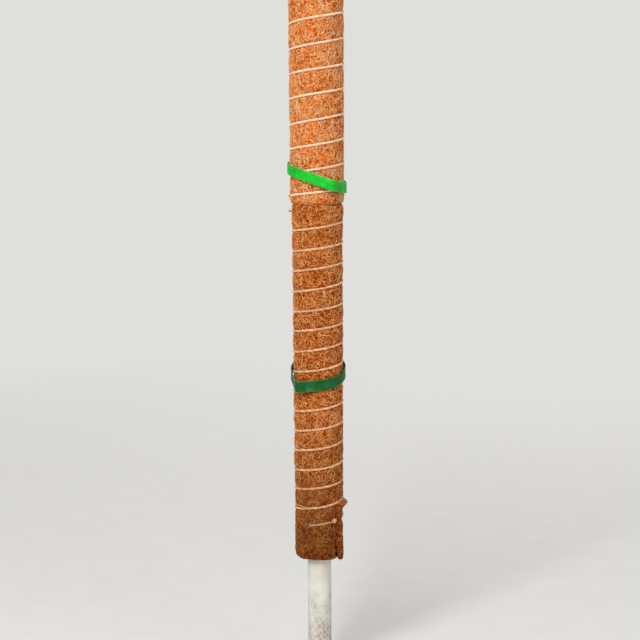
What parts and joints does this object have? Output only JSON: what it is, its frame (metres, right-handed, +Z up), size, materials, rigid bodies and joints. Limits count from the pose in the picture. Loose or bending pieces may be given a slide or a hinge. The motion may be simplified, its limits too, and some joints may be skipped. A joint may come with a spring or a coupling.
{
  "type": "moss pole",
  "caption": "Stackable moss pole for a climbing plant: coir-wrapped tubes bound with twine, the upper one plugged into the lower, with sliding soft tape ties and a bare spigot for the soil.",
  "frame": {"origin": "on the pole's axis at the soil line, where the lower length's coir ends and its bare spigot begins", "axes": "+Z up along the pole, -Y towards the picture's camera, +X to the camera's right"},
  "size_m": [0.0528, 0.0595, 0.7003],
  "materials": {
    "core_plastic": "satin",
    "lower_coir": "matte",
    "upper_coir": "matte",
    "twine": "matte",
    "upper_tape": "satin",
    "lower_tape": "satin",
    "staple_wire": "satin"
  },
  "bodies": {
    "lower_section": {"ground_spigot": "core_plastic", "lower_core_tube": "core_plastic", "lower_coir_mat": "lower_coir", "lower_binding_twine": "twine", "lower_twine_foot_knot": "twine", "lower_twine_head_knot": "twine"},
    "upper_section": {"joining_spigot": "core_plastic", "upper_core_tube": "core_plastic", "upper_coir_mat": "upper_coir", "upper_binding_twine": "twine", "upper_twine_foot_knot": "twine", "upper_twine_head_knot": "twine"},
    "lower_tie": {"lower_tie_tape": "lower_tape", "lower_tie_staple": "staple_wire"},
    "upper_tie": {"upper_tie_tape": "upper_tape", "upper_tie_staple": "staple_wire"}
  },
  "joints": [
    {"name": "upper_section_lift", "type": "slide", "parent": "lower_section", "child": "upper_section", "axis": [0, 0, 1], "range_m": [0, 0.105]},
    {"name": "lower_tie_slide", "type": "slide", "parent": "lower_section", "child": "lower_tie", "axis": [0, 0, 1], "range_m": [-0.09, 0.09]},
    {"name": "upper_tie_slide", "type": "slide", "parent": "upper_section", "child": "upper_tie", "axis": [0, 0, 1], "range_m": [-0.006, 0.22]}
  ]
}
